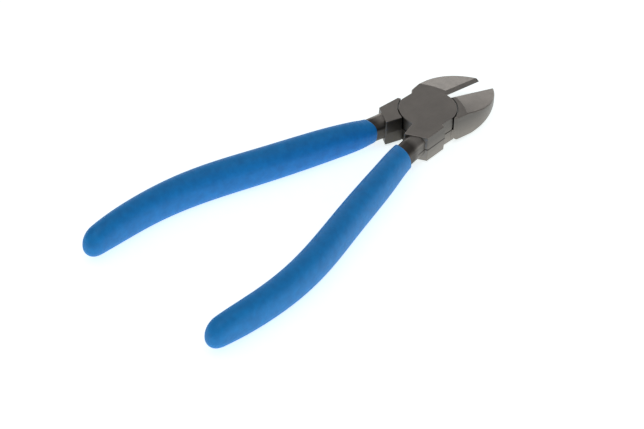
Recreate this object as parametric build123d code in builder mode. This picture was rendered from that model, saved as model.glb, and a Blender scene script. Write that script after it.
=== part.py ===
"""Diagonal cutting pliers: two forged levers crossing in a lap joint, a rivet and two dipped grips.

Frame: the pivot axis is Z and passes through the origin, z = 0 is the flat back face of the head,
+Y points to the jaw tips and +X to the right. Everything is modelled half open, each lever turned
by half_opening from the closed position. Units are millimetres and degrees.
"""

from build123d import *

import math
import os

os.makedirs("parts", exist_ok=True)

# Joint
head_thickness = 10.0
middle = head_thickness / 2
half_opening = 5.4
joint_radius = 10.0
joint_half_width = 9.9
joint_draft = 4.0
lap_gap = 0.22
arc_gap = 0.45
edge_break = 0.15

# Jaw, in the closed position, where the two cutting edges meet in the plane x = 0
jaw_length = 29.45
jaw_root = (9.35, 2.60)
jaw_heel = (10.62, 4.40)
jaw_widest = (10.98, 12.65)
jaw_side_radius = 68.0
heel_round = 1.0
tip_width = 1.30
tip_round = 1.0
rim_round = 0.5
belly_round = 1.1

# The jaw's face falls to the tip as a wide cone, and its belly rises as a plane
face_cone_radius = 21.4
face_cone_y = -9.85
face_slope = 0.2625
belly_start = 11.4
belly_slope = 0.19

# Cutting edge: a bevel above it, a wide hollow below it
edge_start = 11.43
edge_start_height = 9.06
edge_clearance = 0.03
bevel_width = 1.28
bevel_rise = 0.92
hollow_angle = 46.0

# Shoulder between the joint and the handle, widest at the middle of its thickness
shoulder_outline = [
    (-3.00, -3.00),
    (-9.30, -3.35),
    (-11.00, -4.20),
    (-10.72, -13.20),
    (-2.55, -16.80),
    (-1.10, -10.05),
]
shoulder_draft = 3.5
shoulder_round = 0.6
shoulder_edge_round = 0.25

# Neck and tang along the handle line: distance from its start, half width, half height
handle_height = 5.64
handle_line = [
    (-6.10, -13.50),
    (-7.23, -24.40),
    (-11.56, -45.60),
    (-14.63, -60.75),
    (-17.84, -75.90),
    (-20.05, -98.50),
    (-18.25, -120.40),
    (-16.60, -130.50),
]
tang_sections = [
    (0.0, 3.60, 4.10),
    (9.0, 3.25, 4.00),
    (20.0, 3.10, 4.10),
    (34.0, 3.05, 4.10),
    (48.0, 3.00, 4.10),
    (63.0, 2.95, 4.10),
    (80.0, 2.80, 3.95),
    (97.0, 2.60, 3.65),
    (112.0, 2.10, 2.90),
]
tang_corner = 0.78

# Grip: distance from the start of the handle line, half width, half height
front_grip_start = 9.3
back_grip_start = 7.0
grip_sections = [
    (20.0, 4.42, 6.04),
    (33.0, 4.66, 6.44),
    (48.0, 4.76, 6.62),
    (63.0, 4.80, 6.68),
    (75.0, 4.66, 6.66),
    (87.0, 4.42, 6.56),
    (98.0, 4.20, 6.36),
    (108.0, 4.00, 5.95),
    (114.0, 3.65, 5.15),
    (117.1, 2.65, 3.75),
    (118.0, 1.45, 2.05),
]
grip_lip = (4.10, 5.60)
grip_lip_round = 0.9

# Rivet: a blind shank in the front lever and a flush head in the back lever
rivet_radius = 3.2
rivet_clearance = 0.05
rivet_head_radius = 4.8
rivet_head_cylinder = 0.4
rivet_blind_end = 8.0

turn = math.radians(half_opening)
lever_plane = Plane(origin=(0, 0, 0), x_dir=(math.cos(turn), -math.sin(turn), 0), z_dir=(0, 0, 1))
lever_side = Plane(origin=(0, 0, 0), x_dir=lever_plane.y_dir, z_dir=lever_plane.x_dir)


def in_lever(shape):
    """Return the centre of an edge in the closed position's coordinates."""
    return lever_plane.to_local_coords(shape.center())


def make_jaw():
    """Return the jaw of the back lever, with its bevel and hollow, before the lap is cut."""
    with BuildPart() as jaw:
        with BuildSketch(lever_plane):
            with BuildLine():
                Polyline((edge_clearance, 0), jaw_root, jaw_heel)
                side = RadiusArc(jaw_heel, jaw_widest, -jaw_side_radius)
                TangentArc(jaw_widest, (tip_width, jaw_length), tangent=side % 1)
                Polyline((tip_width, jaw_length), (edge_clearance, jaw_length), (edge_clearance, 0))
            make_face()
        extrude(amount=head_thickness)
        uprights = jaw.edges().filter_by(Axis.Z)
        heel = uprights.filter_by(lambda edge: 10 < in_lever(edge).X and in_lever(edge).Y < 6)
        fillet(heel, radius=heel_round)
        nose = jaw.edges().filter_by(Axis.Z).sort_by_distance(
            lever_plane.from_local_coords(Vector(tip_width, jaw_length, middle))
        )[0]
        fillet(nose, radius=tip_round)
        # The face: flat around the joint, then falling to the tip
        cone_axis = lever_plane.from_local_coords(Vector(0, face_cone_y, 0))
        far = face_cone_radius + 30
        with BuildSketch(Plane(origin=cone_axis, x_dir=lever_plane.y_dir, z_dir=lever_plane.x_dir)):
            Polygon(
                (0, -1),
                (far, -1),
                (far, head_thickness - 30 * face_slope),
                (face_cone_radius, head_thickness),
                (0, head_thickness),
                align=None,
            )
        revolve(axis=Axis(cone_axis, (0, 0, 1)), mode=Mode.INTERSECT)
        # The belly
        with BuildSketch(lever_side):
            Polygon(
                (belly_start, 0),
                (jaw_length + 10, belly_slope * (jaw_length + 10 - belly_start)),
                (jaw_length + 10, -2),
                (belly_start, -2),
                align=None,
            )
        extrude(amount=30, both=True, mode=Mode.SUBTRACT)
        level = jaw.edges().filter_by(lambda edge: abs((edge % 0.5).Z) < 0.5)
        outer = level.filter_by(lambda edge: in_lever(edge).X > 5)
        fillet(outer.filter_by(lambda edge: edge.center().Z > middle), radius=rim_round)
        level = jaw.edges().filter_by(lambda edge: abs((edge % 0.5).Z) < 0.5)
        outer = level.filter_by(lambda edge: in_lever(edge).X > 5 and edge.center().Z < 3.2)
        outer = outer.filter_by(lambda edge: edge.length > 1)
        fillet(outer, radius=belly_round)
    return jaw.part


def make_edge_cutter():
    """Return the solid that cuts the bevel above the cutting edge and the hollow below it."""
    along = (lever_plane.y_dir - Vector(0, 0, face_slope)).normalized()
    start = lever_plane.from_local_coords(Vector(edge_clearance, edge_start, edge_start_height))
    section = Plane(origin=start - along * 8, x_dir=lever_plane.x_dir, z_dir=along * -1)
    reach = 14.0
    with BuildPart() as cutter:
        with BuildSketch(section):
            Polygon(
                (0, 0),
                (3 * bevel_width, 3 * bevel_rise),
                (-1, 3 * bevel_rise),
                (-1, -reach),
                (reach * math.tan(math.radians(hollow_angle)), -reach),
                align=None,
            )
        extrude(amount=-40)
        with BuildSketch():
            Circle(joint_radius)
        extrude(amount=2 * head_thickness, both=True, mode=Mode.SUBTRACT)
    return cutter.part


def make_shoulder():
    """Return the shoulder of the back lever, drafted both ways from the middle plane."""
    with BuildPart() as shoulder:
        with BuildSketch(lever_plane.offset(middle)):
            Polygon(*shoulder_outline, align=None)
            corners = vertices().filter_by(lambda corner: corner.Y < -3.9)
            fillet(corners.sort_by(Axis.Y)[0:2], radius=shoulder_round)
        extrude(amount=middle, taper=shoulder_draft)
        fillet(shoulder.edges().group_by(Axis.Z)[-1], radius=shoulder_edge_round)
        mirror(about=Plane.XY.offset(middle))
    return shoulder.part


def make_handle_line():
    """Return the curve down the middle of the handle, from inside the shoulder to its end."""
    points = [lever_plane.from_local_coords(Vector(x, y, handle_height)) for x, y in handle_line]
    with BuildLine() as line:
        Spline(*points)
    return line.edge()


def section_plane(line, distance):
    """Return the plane across the handle line at a distance along it, X in the plane of the head."""
    share = distance / line.length
    place = line @ share
    direction = line % share
    return Plane(origin=place, x_dir=direction.cross(Vector(0, 0, 1)), z_dir=direction)


def make_tang(line):
    """Return the neck and tang of the back lever, a loft of rounded rectangles."""
    with BuildPart() as tang:
        for distance, half_width, half_height in tang_sections:
            with BuildSketch(section_plane(line, distance)):
                RectangleRounded(2 * half_width, 2 * half_height, tang_corner * half_width)
        loft()
    return tang.part


def make_grip(line, start):
    """Return the outer shape of the back lever's grip from its lip on, a ruled loft of ellipses."""
    with BuildPart() as grip:
        for distance, half_width, half_height in [(start, *grip_lip), *grip_sections]:
            with BuildSketch(section_plane(line, distance)):
                Ellipse(half_width, half_height)
        loft(ruled=True)
        lip = grip.faces().filter_by(GeomType.PLANE).sort_by(Axis.Y)[-1]
        fillet(lip.edges(), radius=grip_lip_round)
    return grip.part


def make_cheek():
    """Return the upper half of the joint, round with two drafted flats at its free sides."""
    with BuildPart() as cheek:
        with BuildSketch(Plane.XY.offset(middle + lap_gap / 2)):
            Circle(joint_radius)
        extrude(amount=middle - lap_gap / 2)
        with BuildSketch(Plane.XY.offset(middle)):
            Rectangle(2 * joint_half_width, 4 * joint_radius)
        extrude(amount=middle, taper=joint_draft, mode=Mode.INTERSECT)
        chamfer(cheek.faces().sort_by(Axis.Z)[0].edges(), length=edge_break)
        fillet(cheek.faces().sort_by(Axis.Z)[-1].edges(), radius=edge_break)
    return cheek.part


def rivet_outline(clearance):
    """Return the half outline of the rivet: flush head, cone and shank, grown by a clearance."""
    head = rivet_head_radius + clearance
    shank = rivet_radius + clearance
    cone_end = rivet_head_cylinder + rivet_head_radius - rivet_radius
    return [
        (0, 0),
        (head, 0),
        (head, rivet_head_cylinder + clearance),
        (shank, cone_end + clearance),
        (shank, rivet_blind_end),
        (0, rivet_blind_end),
    ]


line = make_handle_line()
jaw = make_jaw()
edge_cutter = make_edge_cutter()
shoulder = make_shoulder()
tang = make_tang(line)
front_grip_shape = mirror(make_grip(line, front_grip_start), about=Plane.YZ)
back_grip_shape = make_grip(line, back_grip_start)
front_cheek = make_cheek()
back_cheek = mirror(front_cheek, about=Plane.XY.offset(middle))

with BuildPart() as back_blank:
    add(jaw)
    add(edge_cutter, mode=Mode.SUBTRACT)
    add(shoulder)
    add(tang)

front_blank = mirror(back_blank.part, about=Plane.YZ)
front_tang = mirror(tang, about=Plane.YZ)

with BuildPart() as back_lever:
    add(back_blank.part)
    with BuildSketch(Plane.XY.offset(middle - lap_gap / 2)):
        Circle(joint_radius + arc_gap)
    extrude(amount=head_thickness, mode=Mode.SUBTRACT)
    add(back_cheek)
    with BuildSketch(Plane.XZ):
        Polygon(*rivet_outline(rivet_clearance), align=None)
    revolve(axis=Axis.Z, mode=Mode.SUBTRACT)
back_lever.part.label = "back_lever"
export_step(back_lever.part, "parts/back_lever.step")

with BuildPart() as front_lever:
    add(front_blank)
    with BuildSketch(Plane.XY.offset(middle + lap_gap / 2)):
        Circle(joint_radius + arc_gap)
    extrude(amount=-head_thickness, mode=Mode.SUBTRACT)
    add(front_cheek)
    with BuildSketch(Plane.XY):
        Circle(rivet_radius)
    extrude(amount=rivet_blind_end, mode=Mode.SUBTRACT)
front_lever.part.label = "front_lever"
export_step(front_lever.part, "parts/front_lever.step")

with BuildPart() as pivot_rivet:
    with BuildSketch(Plane.XZ):
        Polygon(*rivet_outline(0), align=None)
    revolve(axis=Axis.Z)
pivot_rivet.part.label = "pivot_rivet"
export_step(pivot_rivet.part, "parts/pivot_rivet.step")

with BuildPart() as back_grip:
    add(back_grip_shape)
    add(tang, mode=Mode.SUBTRACT)
back_grip.part.label = "back_grip"
export_step(back_grip.part, "parts/back_grip.step")

with BuildPart() as front_grip:
    add(front_grip_shape)
    add(front_tang, mode=Mode.SUBTRACT)
front_grip.part.label = "front_grip"
export_step(front_grip.part, "parts/front_grip.step")
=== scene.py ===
"""Diagonal cutting pliers with dipped vinyl grips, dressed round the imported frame.

The two forged levers and the rivet are the frame's own solids in burnished steel.
The grips are new surfaces: sleeves of soft vinyl, each with a rolled mouth and a domed end.
"""

import logging
import math
from dataclasses import dataclass
from enum import Enum

import bpy
import numpy as np
from mathutils import Matrix, Vector


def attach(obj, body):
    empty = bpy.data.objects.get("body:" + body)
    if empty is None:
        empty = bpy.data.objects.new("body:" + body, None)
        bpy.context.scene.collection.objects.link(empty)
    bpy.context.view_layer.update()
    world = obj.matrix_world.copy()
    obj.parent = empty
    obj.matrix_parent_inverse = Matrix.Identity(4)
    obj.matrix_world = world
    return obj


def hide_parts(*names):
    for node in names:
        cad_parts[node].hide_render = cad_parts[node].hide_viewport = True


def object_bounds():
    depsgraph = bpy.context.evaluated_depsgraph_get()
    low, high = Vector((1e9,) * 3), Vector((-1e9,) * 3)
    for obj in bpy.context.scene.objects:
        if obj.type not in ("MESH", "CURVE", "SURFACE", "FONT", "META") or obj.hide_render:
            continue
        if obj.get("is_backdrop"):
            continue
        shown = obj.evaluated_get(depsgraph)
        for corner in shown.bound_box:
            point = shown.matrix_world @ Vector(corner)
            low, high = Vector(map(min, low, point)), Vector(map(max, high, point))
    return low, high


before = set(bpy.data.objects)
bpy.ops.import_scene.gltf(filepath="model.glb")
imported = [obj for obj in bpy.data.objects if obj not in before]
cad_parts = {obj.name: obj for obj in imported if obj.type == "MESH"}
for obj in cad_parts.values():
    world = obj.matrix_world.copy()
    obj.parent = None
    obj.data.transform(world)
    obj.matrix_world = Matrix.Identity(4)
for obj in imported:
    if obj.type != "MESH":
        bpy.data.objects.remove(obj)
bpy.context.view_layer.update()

log = logging.getLogger("pliers")

MM = 0.001
HALF_OPENING = math.radians(5.4)


def linear(colour: str) -> tuple[float, float, float, float]:
    """Turn an sRGB hex colour into linear RGBA.

    Args:
        colour: six hex digits, with or without a leading #.

    Returns:
        Linear red, green and blue, and an alpha of 1.
    """
    digits = colour.lstrip("#")
    shares = [int(digits[i:i + 2], 16) / 255 for i in (0, 2, 4)]
    red, green, blue = (
        s / 12.92 if s <= 0.04045 else ((s + 0.055) / 1.055) ** 2.4 for s in shares
    )
    return red, green, blue, 1.0


def add_node(
    tree: bpy.types.NodeTree, kind: str, inputs: dict | None = None, **settings: object
) -> bpy.types.Node:
    """Add a node, give it its settings, and set or link its inputs.

    Args:
        tree: the node tree that gets the node.
        kind: the node's type name.
        inputs: for each socket name or number, a plain value or the output that feeds it.
        settings: the node's own properties by name.

    Returns:
        The new node.
    """
    node = tree.nodes.new(kind)
    for name, value in settings.items():
        setattr(node, name, value)
    for name, value in (inputs or {}).items():
        socket = node.inputs[name]
        if isinstance(value, bpy.types.NodeSocket):
            tree.links.new(value, socket)
        else:
            socket.default_value = value
    return node


def start_material(name: str) -> tuple[bpy.types.Material, bpy.types.Node]:
    """Make an empty node material.

    Args:
        name: the material's name.

    Returns:
        The material and its Principled shader, already linked to the output.
    """
    material = bpy.data.materials.new(name)
    material.use_nodes = True
    tree = material.node_tree
    tree.nodes.clear()
    shader = add_node(tree, "ShaderNodeBsdfPrincipled")
    add_node(tree, "ShaderNodeOutputMaterial", {"Surface": shader.outputs["BSDF"]})
    return material, shader


@dataclass(frozen=True)
class BurnishedSteel:
    """Tool steel, drop-forged, ground on its flats and tumbled with ceramic media.

    Tumbling leaves a satin gunmetal sheen with a fine even pebble and a faint cloudiness, no mirror.
    The tones are colour only, laid by position: painted shade darkening the side walls towards their
    top, a dark band along the shoulder walls at mid-height, scale on the necks and painted shade in
    the crotch.
    No shape stands behind them. Each span says where a tone starts and where it is full, in
    millimetres; cloud, grind and wall tilt are shares.
    """

    name: str = "burnished_tool_steel"
    light: str = "#979089"
    dark: str = "#8C8680"
    # painted shade: the side walls darken towards their top
    wall_shade_tone: str = "#6E6A66"
    scale_tone: str = "#504B47"
    # painted shade in the crotch between the levers
    crotch_shade_tone: str = "#5A5651"
    # a dark colour band along the shoulder walls at mid-height; the shape has no line there
    mid_band_tone: str = "#45413E"
    roughness_low: float = 0.36
    roughness_high: float = 0.48
    cloud_size: float = 6.0 * MM
    pebble_size: float = 0.35 * MM
    pebble_depth: float = 0.006 * MM
    grind_spacing: float = 0.30 * MM
    grind_stretch: float = 25.0
    cloud_span: tuple[float, float] = (0.30, 0.70)
    grind_span: tuple[float, float] = (0.3, 0.7)
    neck_span: tuple[float, float] = (-16.0, -18.5)
    crotch_span: tuple[float, float] = (-7.0, -9.5)
    crotch_depth_span: tuple[float, float] = (9.7, 9.3)
    crotch_side_span: tuple[float, float] = (7.0, 5.0)
    wall_tilt_span: tuple[float, float] = (0.45, 0.20)
    wall_shade_height_span: tuple[float, float] = (1.0, 8.0)
    mid_band_start_span: tuple[float, float] = (-2.5, -3.5)
    mid_band_end_span: tuple[float, float] = (-16.5, -16.0)
    mid_band_low_span: tuple[float, float] = (4.75, 4.95)
    mid_band_high_span: tuple[float, float] = (5.45, 5.25)

    def zone(
        self,
        tree: bpy.types.NodeTree,
        along: bpy.types.NodeSocket,
        span: tuple[float, float],
        within: bpy.types.NodeSocket | float = 1.0,
        unit: float = MM,
    ) -> bpy.types.NodeSocket:
        """Add a share that rises from 0 to the share it lies within.

        Args:
            tree: the node tree.
            along: the value that it follows.
            span: where it starts to rise and where it is full.
            within: the share that it reaches when full.
            unit: the size of one unit of the span.

        Returns:
            The share.
        """
        start, full = span
        return add_node(
            tree,
            "ShaderNodeMapRange",
            {"Value": along, "From Min": start * unit, "From Max": full * unit, "To Max": within},
        ).outputs["Result"]

    def make(self) -> bpy.types.Material:
        """Build the material from Object coordinates.

        Returns:
            The material.
        """
        material, shader = start_material(self.name)
        tree = material.node_tree
        place = add_node(tree, "ShaderNodeTexCoord").outputs["Object"]
        cloud = add_node(
            tree,
            "ShaderNodeTexNoise",
            {"Vector": place, "Scale": 1 / self.cloud_size, "Detail": 3.0, "Roughness": 0.55},
        ).outputs["Fac"]
        pebble = add_node(
            tree,
            "ShaderNodeTexNoise",
            {"Vector": place, "Scale": 1 / self.pebble_size, "Detail": 2.0, "Roughness": 0.5},
        ).outputs["Fac"]
        across = 1 / self.grind_spacing
        stretched = add_node(
            tree,
            "ShaderNodeMapping",
            {"Vector": place, "Scale": (across, across / self.grind_stretch, across)},
        ).outputs["Vector"]
        grind = add_node(
            tree,
            "ShaderNodeTexNoise",
            {"Vector": stretched, "Scale": 1.0, "Detail": 2.0, "Roughness": 0.6},
        ).outputs["Fac"]
        cloudy = self.zone(tree, cloud, self.cloud_span, unit=1)
        ground = add_node(
            tree,
            "ShaderNodeMix",
            {"Factor": cloudy, "A": linear(self.dark), "B": linear(self.light)},
            data_type="RGBA",
        ).outputs["Result"]
        spot = add_node(tree, "ShaderNodeSeparateXYZ", {"Vector": place}).outputs
        neck = self.zone(tree, spot["Y"], self.neck_span)
        side = add_node(
            tree, "ShaderNodeMath", {0: spot["X"]}, operation="ABSOLUTE"
        ).outputs["Value"]
        # painted shade in the crotch, on faces below the top flats
        crotch = self.zone(tree, spot["Y"], self.crotch_span)
        crotch = self.zone(tree, spot["Z"], self.crotch_depth_span, crotch)
        crotch = self.zone(tree, side, self.crotch_side_span, crotch)
        facing = add_node(tree, "ShaderNodeTexCoord").outputs["Normal"]
        upright = add_node(tree, "ShaderNodeSeparateXYZ", {"Vector": facing}).outputs["Z"]
        upright = add_node(
            tree, "ShaderNodeMath", {0: upright}, operation="ABSOLUTE"
        ).outputs["Value"]
        wall = self.zone(tree, upright, self.wall_tilt_span, unit=1)
        # painted shade on the side walls, rising from 1 mm height to full at 8 mm
        wall_shade = self.zone(tree, spot["Z"], self.wall_shade_height_span, wall)
        # a dark band on the shoulder walls at mid-height, between the shoulders' ends
        mid_band = self.zone(tree, spot["Y"], self.mid_band_start_span, wall)
        mid_band = self.zone(tree, spot["Y"], self.mid_band_end_span, mid_band)
        mid_band = self.zone(tree, spot["Z"], self.mid_band_low_span, mid_band)
        mid_band = self.zone(tree, spot["Z"], self.mid_band_high_span, mid_band)
        colour = ground
        for share, tone in (
            (wall_shade, self.wall_shade_tone),
            (mid_band, self.mid_band_tone),
            (neck, self.scale_tone),
            (crotch, self.crotch_shade_tone),
        ):
            colour = add_node(
                tree,
                "ShaderNodeMix",
                {"Factor": share, "A": colour, "B": linear(tone)},
                data_type="RGBA",
            ).outputs["Result"]
        tree.links.new(colour, shader.inputs["Base Color"])
        rough = add_node(
            tree,
            "ShaderNodeMapRange",
            {
                "Value": grind,
                "From Min": self.grind_span[0],
                "From Max": self.grind_span[1],
                "To Min": self.roughness_low,
                "To Max": self.roughness_high,
            },
        ).outputs["Result"]
        tree.links.new(rough, shader.inputs["Roughness"])
        height = add_node(
            tree, "ShaderNodeMath", {0: pebble, 1: grind}, operation="ADD"
        ).outputs["Value"]
        bump = add_node(
            tree,
            "ShaderNodeBump",
            {"Strength": 1.0, "Distance": self.pebble_depth, "Height": height},
        ).outputs["Normal"]
        tree.links.new(bump, shader.inputs["Normal"])
        shader.inputs["Metallic"].default_value = 1.0
        return material


@dataclass(frozen=True)
class DippedVinyl:
    """Soft PVC plastisol, dipped hot on the steel and cured.

    The skin is satin, a little uneven in depth of colour, with a soft orange peel.
    """

    name: str = "dipped_vinyl"
    light: str = "#0A8EDC"
    dark: str = "#037FCA"
    roughness: float = 0.52
    index: float = 1.41
    mottle_size: float = 3.0 * MM
    peel_size: float = 0.9 * MM
    peel_depth: float = 0.035 * MM
    mottle_span: tuple[float, float] = (0.32, 0.68)

    def make(self) -> bpy.types.Material:
        """Build the material from Object coordinates.

        Returns:
            The material.
        """
        material, shader = start_material(self.name)
        tree = material.node_tree
        place = add_node(tree, "ShaderNodeTexCoord").outputs["Object"]
        mottle = add_node(
            tree,
            "ShaderNodeTexNoise",
            {"Vector": place, "Scale": 1 / self.mottle_size, "Detail": 4.0, "Roughness": 0.6},
        ).outputs["Fac"]
        low, high = self.mottle_span
        share = add_node(
            tree, "ShaderNodeMapRange", {"Value": mottle, "From Min": low, "From Max": high}
        ).outputs["Result"]
        colour = add_node(
            tree,
            "ShaderNodeMix",
            {"Factor": share, "A": linear(self.dark), "B": linear(self.light)},
            data_type="RGBA",
        ).outputs["Result"]
        tree.links.new(colour, shader.inputs["Base Color"])
        peel = add_node(
            tree,
            "ShaderNodeTexNoise",
            {"Vector": place, "Scale": 1 / self.peel_size, "Detail": 2.0, "Roughness": 0.5},
        ).outputs["Fac"]
        bump = add_node(
            tree,
            "ShaderNodeBump",
            {"Strength": 1.0, "Distance": self.peel_depth, "Height": peel},
        ).outputs["Normal"]
        tree.links.new(bump, shader.inputs["Normal"])
        shader.inputs["Roughness"].default_value = self.roughness
        shader.inputs["IOR"].default_value = self.index
        return material


@dataclass(frozen=True)
class LitAcrylic:
    """Opal acrylic sheet of a light table, cast and matt, lit evenly from beneath.

    The glow keeps shadows faint; the sheet's own white has a barely seen stipple.
    """

    name: str = "lit_opal_acrylic"
    white: str = "#E8EAEA"
    shade: str = "#E2E5E5"
    roughness: float = 0.9
    glow: float = 0.83
    glow_tone: str = "#EEF4F4"
    stipple_size: float = 3.0 * MM
    stipple_span: tuple[float, float] = (0.3, 0.7)

    def make(self) -> bpy.types.Material:
        """Build the material from Object coordinates.

        Returns:
            The material.
        """
        material, shader = start_material(self.name)
        tree = material.node_tree
        place = add_node(tree, "ShaderNodeTexCoord").outputs["Object"]
        stipple = add_node(
            tree, "ShaderNodeTexNoise", {"Vector": place, "Scale": 1 / self.stipple_size}
        ).outputs["Fac"]
        low, high = self.stipple_span
        share = add_node(
            tree, "ShaderNodeMapRange", {"Value": stipple, "From Min": low, "From Max": high}
        ).outputs["Result"]
        colour = add_node(
            tree,
            "ShaderNodeMix",
            {"Factor": share, "A": linear(self.shade), "B": linear(self.white)},
            data_type="RGBA",
        ).outputs["Result"]
        tree.links.new(colour, shader.inputs["Base Color"])
        shader.inputs["Roughness"].default_value = self.roughness
        shader.inputs["Emission Color"].default_value = linear(self.glow_tone)
        shader.inputs["Emission Strength"].default_value = self.glow
        return material


def spline_through(points: np.ndarray, stations: np.ndarray, wanted: np.ndarray) -> np.ndarray:
    """Read a natural cubic spline through points.

    Between two stations the curve is the straight mix of its end points plus a cubic term for
    each end's second derivative; those come from one linear system that keeps slopes equal
    on both sides of every point and curvature zero at both ends.

    Args:
        points: one row for each station.
        stations: rising distances at which the points stand.
        wanted: distances at which to read the curve.

    Returns:
        One row for each wanted distance.
    """
    gaps = np.diff(stations)
    slopes = np.diff(points, axis=0) / gaps[:, None]
    count = len(stations)
    system = np.eye(count)
    inner = np.arange(1, count - 1)
    system[inner, inner] = 2 * (gaps[:-1] + gaps[1:])
    system[inner, inner - 1] = gaps[:-1]
    system[inner, inner + 1] = gaps[1:]
    right = np.zeros_like(points)
    right[1:-1] = 6 * np.diff(slopes, axis=0)
    bend = np.linalg.solve(system, right)
    k = np.clip(np.searchsorted(stations, wanted) - 1, 0, count - 2)
    gap = gaps[k][:, None]
    after = (wanted[:, None] - stations[k][:, None]) / gap
    before = 1 - after
    return (
        before * points[k]
        + after * points[k + 1]
        + gap**2 / 6 * ((before**3 - before) * bend[k] + (after**3 - after) * bend[k + 1])
    )


def mesh_piece(
    name: str, vertices: np.ndarray, faces: list[list[int]], material: bpy.types.Material
) -> bpy.types.Object:
    """Put worked-out points and faces into a smooth mesh object at the origin.

    Args:
        name: the piece's name.
        vertices: one point a row, in metres.
        faces: vertex numbers of each face, anticlockwise from outside.
        material: the piece's finish.

    Returns:
        The new object, linked to the scene.
    """
    mesh = bpy.data.meshes.new(name)
    mesh.from_pydata(vertices.tolist(), [], faces)
    mesh.polygons.foreach_set("use_smooth", np.ones(len(mesh.polygons), bool))
    mesh.materials.append(material)
    mesh.update()
    piece = bpy.data.objects.new(name, mesh)
    bpy.context.scene.collection.objects.link(piece)
    return piece


class Half(Enum):
    """The two halves of the pliers, with the side of the mid-line their handles lie on."""

    FRONT = 1
    BACK = -1


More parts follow.
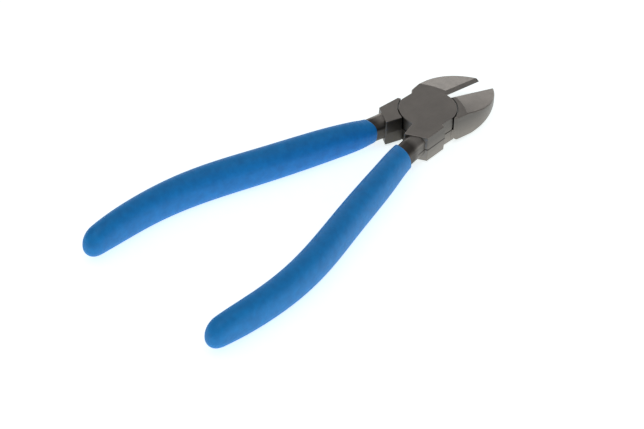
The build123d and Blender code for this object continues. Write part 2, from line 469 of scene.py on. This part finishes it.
@dataclass
class DippedGrip:
    """One sleeve of dipped vinyl, from its rolled mouth to its domed end.

    All lengths are in millimetres. Distances run along the handle's own line, from its
    start inside the shoulder. Most rows of line and skin are the output of a least-squares fit
    to the handles' outlines. Tang repeats the solid's own sections.
    """

    name: str
    node: str
    body: str
    half: Half
    mouth: float
    mouth_slant: tuple[float, float]
    mouth_taper: tuple[float, float]
    lip_length: float
    wrinkle_depth: float
    end: float
    dome_length: float = 5.6
    dome_power: float = 2.4
    mid_height: float = 5.645
    end_droop: float = 0.2
    droop_length: float = 11.0
    taper_reach: float = 3.5
    end_slant: float = 1.1
    end_slant_reach: float = 6.0
    skin_power: float = 2.25
    bore_power: float = 2.9
    bore_end: float = 112.0
    slant_reach: float = 6.0
    wrinkle_pitch: float = 1.15
    wrinkle_reach: float = 5.0
    wrinkle_start: float = 0.6
    waver: float = 0.9
    waver_turn: float = 0.7
    bore_bite: float = 0.03
    step_ahead: float = 0.05
    ringed_length: float = 18.0
    bore_rows: int = 60
    lip_rows: int = 12
    ringed_rows: int = 100
    plain_rows: int = 149
    dome_rows: int = 28
    around: int = 96
    line: tuple = (
        (6.10, -13.50), (7.23, -24.43), (9.11, -33.51), (11.56, -45.62), (14.63, -60.75),
        (17.84, -75.89), (19.89, -90.93), (19.92, -105.77), (18.25, -120.45), (16.60, -130.50),
    )
    skin: tuple = (
        (0.0, 3.90, 5.05), (11.0, 4.15, 5.54), (20.3, 4.41, 6.03), (32.6, 4.64, 6.43),
        (48.0, 4.74, 6.60), (63.5, 4.78, 6.66), (78.7, 4.55, 6.60), (93.5, 4.22, 6.43),
        (108.3, 3.92, 5.91), (118.5, 3.65, 4.65),
    )
    tang: tuple = (
        (0.0, 3.60, 4.10), (9.0, 3.25, 4.00), (20.0, 3.10, 4.10), (34.0, 3.05, 4.10),
        (48.0, 3.00, 4.10), (63.0, 2.95, 4.10), (80.0, 2.80, 3.95), (97.0, 2.60, 3.65),
        (112.0, 2.10, 2.90),
    )

    def read_table(self, table: tuple, distance: np.ndarray) -> np.ndarray:
        """Read the half width and half height at each distance from a table of sections."""
        rows = np.array(table)
        return spline_through(rows[:, 1:], rows[:, 0], distance)

    def skin_size(self, distance: np.ndarray) -> np.ndarray:
        """Read the skin's half sizes: the table's, less a taper that dies away from the mouth."""
        fade = np.exp(-(distance - self.mouth) / self.taper_reach)
        return self.read_table(self.skin, distance) - fade[:, None] * np.array(self.mouth_taper)

    def rows(self) -> tuple[np.ndarray, np.ndarray, np.ndarray]:
        """Work out the sleeve's profile, from the bore's end to the tip of the dome.

        The bore follows the tang. At the mouth a quarter ellipse leads from the tang to the
        skin. The skin then runs to the dome, where both half sizes shrink as a superellipse:
        the size is (1 - t^p)^(1/p) of the skin's, t being the share of the dome passed.

        Returns:
            Distance, half sizes and superellipse power of each row.
        """
        bore = np.linspace(self.bore_end, self.mouth, self.bore_rows)
        bore_size = self.read_table(self.tang, bore) - self.bore_bite
        turn = np.linspace(0, 1, self.lip_rows + 2)[1:-1]
        lip = self.mouth + self.lip_length * (1 - np.sqrt(1 - turn**2))
        inner = self.read_table(self.tang, np.full_like(lip, self.mouth)) - self.bore_bite
        outer = self.skin_size(np.full_like(lip, self.mouth + self.lip_length))
        lip_size = inner + (outer - inner) * turn[:, None]
        lip_end = self.mouth + self.lip_length
        ringed = lip_end + np.linspace(0, self.ringed_length, self.ringed_rows)
        plain = np.linspace(ringed[-1], self.end - self.dome_length, self.plain_rows + 1)[1:]
        share = np.sin(np.linspace(0, math.pi / 2, self.dome_rows + 2))[1:-1]
        dome = self.end - self.dome_length * (1 - share)
        skin = np.concatenate([ringed, plain, dome])
        skin_size = self.skin_size(skin)
        skin_size[-len(dome):] *= ((1 - share**self.dome_power) ** (1 / self.dome_power))[:, None]
        distance = np.concatenate([bore, lip, skin])
        size = np.concatenate([bore_size, lip_size, skin_size])
        power = np.concatenate(
            [
                np.full(len(bore), self.bore_power),
                self.bore_power + (self.skin_power - self.bore_power) * turn,
                np.full(len(skin), self.skin_power),
            ]
        )
        return distance, size, power

    def place(self, distance: np.ndarray) -> tuple[np.ndarray, np.ndarray]:
        """Find points on the handle's line, and the direction across it, in the half-open frame.

        Args:
            distance: distances along the line.

        Returns:
            Points on the line and unit vectors across it, both in the plane of the head.
        """
        closed = np.array(self.line) * (self.half.value, 1)
        stations = np.concatenate([[0], np.cumsum(np.linalg.norm(np.diff(closed, axis=0), axis=1))])
        point = spline_through(closed, stations, distance)
        ahead = spline_through(closed, stations, distance + self.step_ahead)
        along = (ahead - point) / np.linalg.norm(ahead - point, axis=1)[:, None]
        turn = self.half.value * HALF_OPENING
        spin = np.array([[math.cos(turn), math.sin(turn)], [-math.sin(turn), math.cos(turn)]])
        return point @ spin, np.stack([-along[:, 1], along[:, 0]], axis=1) @ spin

    def build(self, material: bpy.types.Material) -> bpy.types.Object:
        """Make the sleeve.

        Each row is a superellipse round the handle's line: across it by the half width times
        sign(cos a) |cos a|^(2/n), and up by the half height times sign(sin a) |sin a|^(2/n).
        The mouth is cut a little aslant: rows near it shift along the line by a cosine of a,
        so the coat reaches further up on one side. The dome leans back at its top.
        Near the mouth the skin has rings: the sizes swell by a sine of the distance, which
        dies away behind the mouth and wavers round the section.

        Args:
            material: the vinyl.

        Returns:
            The sleeve.
        """
        distance, size, power = self.rows()
        angle = np.linspace(0, 2 * math.pi, self.around, endpoint=False)
        near_mouth = np.exp(-(((distance - self.mouth) / self.slant_reach) ** 2))
        amount, towards = self.mouth_slant
        slant = -amount * near_mouth[:, None] * np.cos(angle - math.radians(towards))
        near_end = np.exp(-(((distance - self.end) / self.end_slant_reach) ** 2))
        lean = self.end_slant * near_end * size[:, 1] / size[:, 1].max()
        spot = distance[:, None] + slant - lean[:, None] * np.sin(angle)
        centre, across = self.place(spot.ravel())
        centre = centre.reshape(*spot.shape, 2)
        across = across.reshape(*spot.shape, 2)
        root = 2 / power[:, None]
        wide = np.sign(np.cos(angle)) * np.abs(np.cos(angle)) ** root
        high = np.sign(np.sin(angle)) * np.abs(np.sin(angle)) ** root
        past = distance - self.mouth - self.lip_length
        first_skin = self.bore_rows + self.lip_rows
        is_skin = (np.arange(len(distance)) > first_skin) & (past > 0)
        swell = (1 - np.exp(-past / self.wrinkle_start)) * np.exp(-past / self.wrinkle_reach)
        fade = np.where(is_skin, swell, 0)
        waver = self.waver * np.sin(2 * angle + self.waver_turn)
        phase = 2 * math.pi * past[:, None] / self.wrinkle_pitch + waver
        ring = self.wrinkle_depth * fade[:, None] * np.sin(phase)
        side = (size[:, :1] + ring) * wide
        points = np.empty((len(distance), self.around, 3))
        points[..., :2] = centre + side[..., None] * across
        late = np.clip((distance - self.end + self.droop_length) / self.droop_length, 0, 1)
        droop = np.where(is_skin, self.end_droop * late**2, 0)
        points[..., 2] = self.mid_height - droop[:, None] + (size[:, 1:] + ring) * high
        tips, _ = self.place(np.array([self.bore_end, self.end]))
        tips = np.column_stack([tips, [self.mid_height, self.mid_height - self.end_droop]])
        vertices = np.concatenate([points.reshape(-1, 3), tips]) * MM
        return mesh_piece(self.name, vertices, self.faces(len(distance)), material)

    def faces(self, rows: int) -> list[list[int]]:
        """Number the faces of the grid, closed round the section and at both poles.

        Args:
            rows: how many rings the grid has.

        Returns:
            Quads between rings and triangles at the poles, all facing outwards.
        """
        ring = np.arange(self.around)
        after = (ring + 1) % self.around
        start = (np.arange(rows - 1) * self.around)[:, None]
        quads = np.stack(
            [start + ring, start + after, start + after + self.around, start + ring + self.around],
            axis=-1,
        ).reshape(-1, 4)
        last = (rows - 1) * self.around
        inner_pole = np.full(self.around, rows * self.around)
        first_fan = np.stack([inner_pole, after, ring], axis=-1)
        last_fan = np.stack([inner_pole + 1, last + ring, last + after], axis=-1)
        return quads.tolist() + first_fan.tolist() + last_fan.tolist()

    def dress(self, material: bpy.types.Material) -> bpy.types.Object:
        """Build the sleeve, stand it for its solid, and let it ride on its half.

        Args:
            material: the vinyl.

        Returns:
            The sleeve.
        """
        sleeve = self.build(material)
        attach(sleeve, self.body)
        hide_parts(self.node)
        log.info("%s: %d faces, rides on %s", self.name, len(sleeve.data.polygons), self.body)
        return sleeve


@dataclass
class ForgedHead:
    """The two forged levers and the rivet that joins them, kept from the frame."""

    nodes: tuple = ("front_lever", "back_lever", "pivot_rivet")

    def dress(self, material: bpy.types.Material) -> None:
        """Give every steel node its finish.

        Args:
            material: the steel.
        """
        for name in self.nodes:
            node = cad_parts[name]
            for slot in node.material_slots:
                slot.material = material
            log.info("%s: dressed in %s", name, material.name)


@dataclass
class Softbox:
    """One flat studio light that faces the pliers."""

    name: str
    direction: tuple[float, float, float]
    distance: float
    width: float
    height: float
    radiance: float
    aim: tuple[float, float, float] = (0.0, -0.05, 0.0)

    def build(self) -> bpy.types.Object:
        """Make the light.

        Returns:
            The light, in the scene.
        """
        lamp = bpy.data.lights.new(self.name, "AREA")
        lamp.shape = "RECTANGLE"
        lamp.size = self.width
        lamp.size_y = self.height
        lamp.energy = self.radiance * math.pi * self.width * self.height
        light = bpy.data.objects.new(self.name, lamp)
        bpy.context.scene.collection.objects.link(light)
        away = Vector(self.direction).normalized()
        light.location = Vector(self.aim) + away * self.distance
        light.rotation_mode = "QUATERNION"
        light.rotation_quaternion = away.to_track_quat("Z", "Y")
        log.info("%s: %.2f by %.2f m", self.name, self.width, self.height)
        return light


@dataclass
class Studio:
    """Floor, room light and softboxes."""

    floor_reach: float = 6.0
    room_light: float = 0.32
    room_tone: str = "#F8FBFF"
    softboxes: tuple = (
        Softbox(
            "top_softbox", direction=(0.10, -0.20, 1.0),
            distance=2.0, width=1.8, height=1.8, radiance=0.7,
        ),
        Softbox(
            "back_softbox", direction=(-0.68, 0.72, 0.17),
            distance=1.7, width=2.6, height=0.7, radiance=1.15,
        ),
    )

    def build_floor(self, height: float) -> bpy.types.Object:
        """Make the floor: a flat square of four corners at one height.

        Args:
            height: the floor's height in metres.

        Returns:
            The floor.
        """
        reach = self.floor_reach
        corners = np.array([(-1, -1, 0), (1, -1, 0), (1, 1, 0), (-1, 1, 0)]) * (reach, reach, 1)
        floor = mesh_piece(
            "studio_floor", corners + (0, 0, height), [[0, 1, 2, 3]], LitAcrylic().make()
        )
        floor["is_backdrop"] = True
        log.info("studio_floor: at %.4f m", height)
        return floor

    def build_room(self) -> None:
        """Fill the room with an even pale light, and show colours without a film-like curve."""
        world = bpy.data.worlds.new("studio_room")
        world.use_nodes = True
        background = world.node_tree.nodes["Background"]
        background.inputs["Color"].default_value = linear(self.room_tone)
        background.inputs["Strength"].default_value = self.room_light
        bpy.context.scene.world = world
        bpy.context.scene.view_settings.view_transform = "Standard"

    def build(self, height: float) -> None:
        """Make everything round the pliers except the camera.

        Args:
            height: the floor's height in metres.
        """
        self.build_floor(height)
        self.build_room()
        for softbox in self.softboxes:
            softbox.build()


@dataclass
class StudioCamera:
    """A long lens above and to the right of the pliers, turned a little about its own axis."""

    azimuth: float = 0.789545
    elevation: float = 0.715064
    roll: float = 0.015826
    distance: float = 0.72585
    target: tuple[float, float, float] = (0.006914, -0.057077, 0.0)
    lens: float = 122.98
    sensor: float = 36.0
    nearest: float = 0.01

    def build(self) -> bpy.types.Object:
        """Make the camera and give it to the scene.

        Returns:
            The camera.
        """
        back = Vector(
            (
                math.sin(self.azimuth) * math.cos(self.elevation),
                -math.cos(self.azimuth) * math.cos(self.elevation),
                math.sin(self.elevation),
            )
        )
        level = (-back).cross(Vector((0, 0, 1))).normalized()
        upright = level.cross(-back)
        right = level * math.cos(self.roll) + upright * math.sin(self.roll)
        up = upright * math.cos(self.roll) - level * math.sin(self.roll)
        lens = bpy.data.cameras.new("studio_camera")
        lens.lens = self.lens
        lens.sensor_width = self.sensor
        lens.clip_start = self.nearest
        camera = bpy.data.objects.new("studio_camera", lens)
        bpy.context.scene.collection.objects.link(camera)
        turn = Matrix((right, up, back)).transposed().to_4x4()
        camera.matrix_world = Matrix.Translation(Vector(self.target) + back * self.distance) @ turn
        bpy.context.scene.camera = camera
        return camera


def main() -> None:
    """Dress the frame, build the grips, and set up the studio."""
    logging.basicConfig(level=logging.INFO, format="%(name)s %(message)s")
    ForgedHead().dress(BurnishedSteel().make())
    vinyl = DippedVinyl().make()
    grips = [
        DippedGrip(
            "front_sleeve", "front_grip", "front_half", Half.FRONT,
            mouth=7.65, mouth_slant=(2.37, 230.0), mouth_taper=(0.05, 0.2),
            lip_length=1.1, wrinkle_depth=0.02, end=117.7,
        ),
        DippedGrip(
            "back_sleeve", "back_grip", "back_half", Half.BACK,
            mouth=6.9, mouth_slant=(1.0, 0.0), mouth_taper=(0.35, 1.25),
            lip_length=1.8, wrinkle_depth=0.035, end=118.1,
        ),
    ]
    for grip in grips:
        grip.dress(vinyl)
    low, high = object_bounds()
    Studio().build(low.z)
    StudioCamera().build()


if __name__ == "__main__":
    main()
